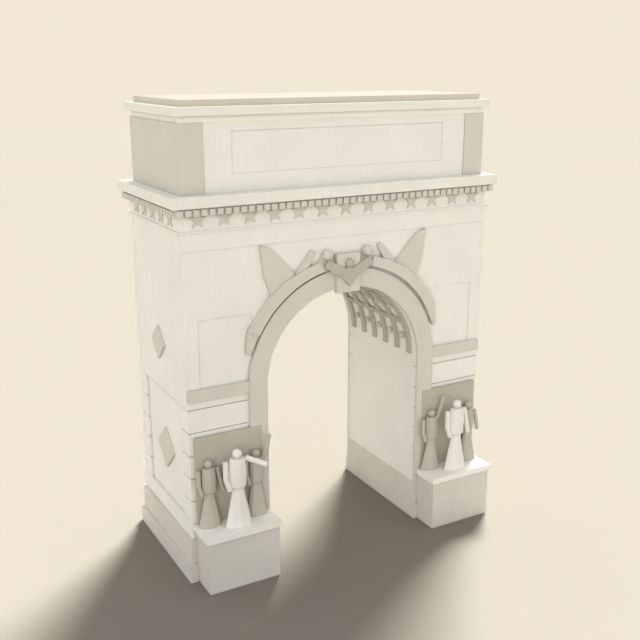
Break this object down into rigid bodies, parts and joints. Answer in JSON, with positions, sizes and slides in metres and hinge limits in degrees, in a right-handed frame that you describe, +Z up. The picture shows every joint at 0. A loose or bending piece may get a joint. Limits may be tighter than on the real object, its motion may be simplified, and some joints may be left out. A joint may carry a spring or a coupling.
{
  "type": "triumphal arch",
  "caption": "Free-standing marble triumphal arch with coffered round vault, keystone eagle, winged spandrel figures, starred frieze, panelled attic and statue groups on pedestals.",
  "frame": {"origin": "middle of the footprint box, at ground level", "axes": "+Z up; -Y is the front with the statue groups; +X along the width, to the right as seen from the front"},
  "size_m": [18.32, 9.407, 23.5],
  "materials": {
    "wall_marble": "honed cream-white marble",
    "moulding_marble": "honed grey-beige marble",
    "plinth_stone": "rubbed grey stone",
    "cap_marble": "honed pale marble",
    "carving_stone": "carved taupe stone",
    "relief_stone": "rubbed taupe stone",
    "figure_stone": "carved grey-brown stone",
    "statue_marble": "carved white marble"
  },
  "bodies": {
    "root": {"architrave": "wall_marble", "archivolt_back": "moulding_marble", "archivolt_front": "moulding_marble", "attic_band": "wall_marble", "attic_cornice": "wall_marble", "attic_ends": "moulding_marble", "attic_wall": "wall_marble", "base_course_left": "wall_marble", "base_course_right": "wall_marble", "coffer_ribs": "carving_stone", "cornice": "wall_marble", "dentils_back": "moulding_marble", "dentils_ends": "moulding_marble", "dentils_front": "moulding_marble", "eagle_back": "carving_stone", "eagle_front": "carving_stone", "frieze": "wall_marble", "impost_bands": "moulding_marble", "keystone_back": "moulding_marble", "keystone_front": "moulding_marble", "lozenges": "moulding_marble", "pedestal_cap_left": "cap_marble", "pedestal_cap_right": "cap_marble", "pedestal_left": "plinth_stone", "pedestal_right": "plinth_stone", "pier_left": "wall_marble", "pier_right": "wall_marble", "plinth_left": "plinth_stone", "plinth_right": "plinth_stone", "quoins_left": "wall_marble", "quoins_right": "wall_marble", "relief_panels": "relief_stone", "roof_slab": "moulding_marble", "rosettes": "carving_stone", "spandrel_left": "wall_marble", "spandrel_right": "wall_marble", "stars_back": "moulding_marble", "stars_ends": "moulding_marble", "stars_front": "moulding_marble", "statue_centre_left": "statue_marble", "statue_centre_right": "statue_marble", "statues_flank_left": "figure_stone", "statues_flank_right": "figure_stone", "victories_back": "moulding_marble", "victories_front": "moulding_marble"}
  },
  "joints": []
}
